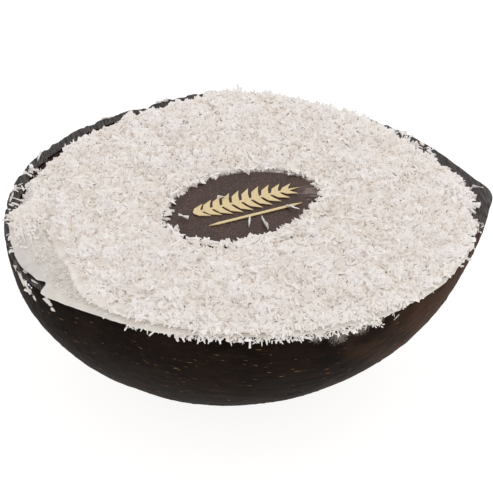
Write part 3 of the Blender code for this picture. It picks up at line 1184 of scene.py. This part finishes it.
for _ in range(FUZZY_SHREDS):
    heading = dice.uniform(-128, -61)
    reach = shell_reach(heading) + dice.uniform(-1.2, 0.3) * MM
    x, y = spot_at(heading, reach)
    height = RIM + dice.uniform(-1.0, 0.5) * MM
    up = (x - CORE.x, y - CORE.y, 0.9 * reach)
    edge_rows.append(row_any_way((x, y, height), up, 0.2, 0.4, (0.4, 0.7), (0.6, 0.9)))
print(len(edge_rows), "shreds along the edge")

# %% [markdown]
# The bank of cream carries shreds too. At its back end they lie loose on it, as part of the heap. On
# the rest a few have half sunk in, and those are painted a duller white, as painted shade for the
# bank, which lies in shade.

# %% Shreds on the bank
LOOSE_TRIES = 1100
SUNK_TRIES = 1200


def on_cream(heading, reach, margin):
    """A place on the cream with its normal, or None nearer to its edge than the margin."""
    place, up, _, _ = cream_tree.ray_cast(Vector((*spot_at(heading, reach), ABOVE_ALL)), -UP)
    if place is None or reach > cream_reach(heading) - margin:
        return None
    return place, up


for _ in range(LOOSE_TRIES):
    heading = dice.normal(172, 7)
    reach = bed_reach(heading) + dice.uniform(-1.5, 8.5) * MM
    under = on_cream(heading, reach, 0)
    if under:
        place = under[0] + under[1] * dice.uniform(0.0, 0.5) * MM
        edge_rows.append(row_any_way(place, under[1], 0.15, 0.4, (0.7, 1.0), (0.5, 0.9)))

bank_rows = []
for _ in range(SUNK_TRIES):
    heading = dice.uniform(183, 240)
    reach = bed_reach(heading) + (7.5 * dice.random() ** 1.6 - 1.5) * MM
    under = on_cream(heading, reach, 0.8 * MM)
    if under:
        place = under[0] + under[1] * dice.uniform(-0.12, 0.02) * MM
        bank_rows.append(row_any_way(place, under[1], 0.06, 0.3, (0.35, 0.7), (0.0, 1.0)))

lay_down("edge_shreds", shred_models, edge_rows, coconut_finish)
# Painted shade: a duller white for the half-sunk shreds, because the bank lies in shade.
bank_shade_finish = shred_finish("sunk_coconut_painted_shade", linear(232, 228, 222), linear(244, 241, 238))
lay_down("bank_shreds", shred_models, bank_rows, bank_shade_finish)

# %% [markdown]
# A few shreds stick to the outside of the shell, where they fell while it was filled. `wall_at` finds
# the wall for each, and the wall's own normal is its way up. They stick in groups: a group's row gives
# its middle heading and width in degrees, how many there are, and how deep under the rim they reach.

# %% Shreds on the wall
WALL_GROUPS = ((-58, 8, 8, 3.0), (-66, 10, 10, 3.0), (-156, 6, 4, 3.0), (-75, 20, 10, 1.6))
wall_rows = []
for middle, width, amount, deepest in WALL_GROUPS:
    for _ in range(amount):
        place, up = wall_at(dice.normal(middle, width / 2), 0.3 * MM + abs(dice.normal(0, deepest / 2)) * MM)
        wall_rows.append(row_any_way(place + up * 0.2 * MM, up, 0.1, 0.3, (0.3, 0.6), (0.4, 0.9)))
lay_down("wall_shreds", shred_models, wall_rows, coconut_finish)

# %% [markdown]
# Ten shreds of the CAD model lie by themselves, on the plate and on the rim. Each gets a finer shred
# in its place, one of the longer models, at the heading and the length that the node has.

# %% Loose shreds
LONG_MODELS = [shred_models[number] for number in (0, 1, 2, 5, 7)]
loose_nodes = sorted(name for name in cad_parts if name.startswith("shred_on"))
for number, node in enumerate(loose_nodes):
    middle, heading, length, _ = middle_heading_and_size(node)
    model = LONG_MODELS[number % len(LONG_MODELS)]
    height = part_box(node)[0].z + 0.15 * MM
    row = (middle.x, middle.y, height, *UP, heading, 0.05, 0.1, length / model.dimensions.x, 0.85)
    piece = lay_down("loose_" + node, [model], [row], coconut_finish)
    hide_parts(node)

# %% [markdown]
# ## Smears of cream
#
# The cream was spread with a knife, and on the left it has left a few thick smears on the rim and down
# the wall, among the smudges that the shell's finish paints. A smear is a ball pressed flat and drawn
# out, whose outline noise makes uneven. Its row gives a heading, how far down the wall or in from the
# rim's edge it is in millimetres, which way it is drawn in degrees, and its size.

# %% Model a smear and lay it down
SMEAR_LENGTH = 2.0 * MM
WALL_SMEARS = ((198.5, 2.1, -60, 0.9), (201, 3.0, -60, 0.8), (208.8, 2.4, 5, 0.8))
RIM_SMEARS = ((198, 2.0, 80, 0.6), (203, 1.6, 100, 0.7))


def drag_smear(point, normal):
    rough = noise.noise(point / (0.9 * MM)) * 0.3 * MM
    drawn = 1 - 0.6 * smoothly(point.x / SMEAR_LENGTH)
    wavy = noise.noise(point / (1.0 * MM) + Vector((5, 0, 0))) * 0.35 * MM
    return (rough, point.y * (drawn - 1) + wavy, rough * 0.1)


bpy.ops.mesh.primitive_ico_sphere_add(subdivisions=4, radius=1)
smear = bpy.context.object
smear.name = "smear_model"
edit(smear, lambda: bpy.ops.transform.resize(value=(SMEAR_LENGTH, 0.9 * MM, 0.16 * MM)))
move_points(smear, drag_smear)

smear_rows = []
for heading, depth, turn, size in WALL_SMEARS:
    place, up = wall_at(heading, depth * MM)
    smear_rows.append((*(place - up * 0.03 * MM), *up, math.radians(turn), 0, 0, size, 0.5))
for heading, inwards, turn, size in RIM_SMEARS:
    smear_rows.append(row_at(heading, shell_reach(heading) - inwards * MM, RIM, turn, 0, 0.5, size))

thin = Finish("thin_cream", roughness=0.5, specular=0.2)
thin_streaks = thin.noise(0.7 * MM, detail=4, rough=0.65, stretch=(1, 1, 0.4))
thin_finish = thin.finish_with(
    colour=thin_streaks.above(0.38, 0.14).mix(linear(196, 189, 182), linear(222, 216, 210)),
    roughness=thin_streaks * 0.3 + 0.35,
    height=thin_streaks,
    depth=0.08 * MM,
)
smears = lay_down("cream_smears", [smear], smear_rows, thin_finish)
bpy.data.objects.remove(smear)

# %% [markdown]
# ## Husk fibres
#
# Short tan fibres of the husk still cling to the shell along the nut's length. One is a thin bar whose
# ends are drawn to a point. Hundreds of copies lie on the outside: rays come in towards the core from
# all round and below, and a fibre lies wherever one meets the shell, more of them in some patches.

# %% Model a fibre and lay it down
FIBRES = 800
FIBRE_LENGTH = 1.5 * MM


def draw_out_fibre():
    bpy.ops.transform.resize(value=(FIBRE_LENGTH, 0.17 * MM, 0.14 * MM))
    bpy.ops.mesh.bisect(plane_co=(0.2 * MM, 0, 0), plane_no=(1, 0, 0))
    for end in (-1, 1):
        pick_vertices(fibre, lambda place: place.x * end > 0.4 * FIBRE_LENGTH)
        bpy.ops.transform.resize(value=(1, 0.15, 0.2), center_override=(0, 0, -0.05 * MM))


bpy.ops.mesh.primitive_cube_add(size=1)
fibre = bpy.context.object
fibre.name = "fibre_model"
edit(fibre, draw_out_fibre)

fibre_rows = []
while len(fibre_rows) < FIBRES:
    from_core = direction(dice.uniform(0, math.tau), -math.asin(dice.uniform(0.05, 1.0)))
    place, up, _, _ = shell_tree.ray_cast(CORE + UP * RIM + from_core * 0.1, -from_core)
    if place is None or not 1 * MM <= place.z <= RIM - 1.5 * MM:
        continue
    if noise.noise(place / (9 * MM)) < dice.uniform(-0.5, 0.3):
        continue
    lying = (dice.normal(0, 0.22), 0, 0)
    fibre_rows.append((*(place + up * 0.03 * MM), *up, *lying, dice.uniform(0.4, 1.2), dice.random()))

husk = Finish("husk_fibre", roughness=0.7, specular=0.15)
fibre_grain = husk.noise(0.4 * MM, detail=3)
husk_finish = husk.finish_with(
    colour=(husk.tone() * 0.8 + fibre_grain * 0.3).mix(linear(56, 39, 26), linear(136, 106, 70)),
    roughness=fibre_grain * 0.2 + 0.6,
    height=fibre_grain,
    depth=0.03 * MM,
)
fibres = lay_down("husk_fibres", [fibre], fibre_rows, husk_finish)
bpy.data.objects.remove(fibre)

# %% [markdown]
# ## Loose ends
#
# The hand-made shreds have been copied, so the models themselves go.

# %% Put the models away
for model in shred_models:
    bpy.data.objects.remove(model)
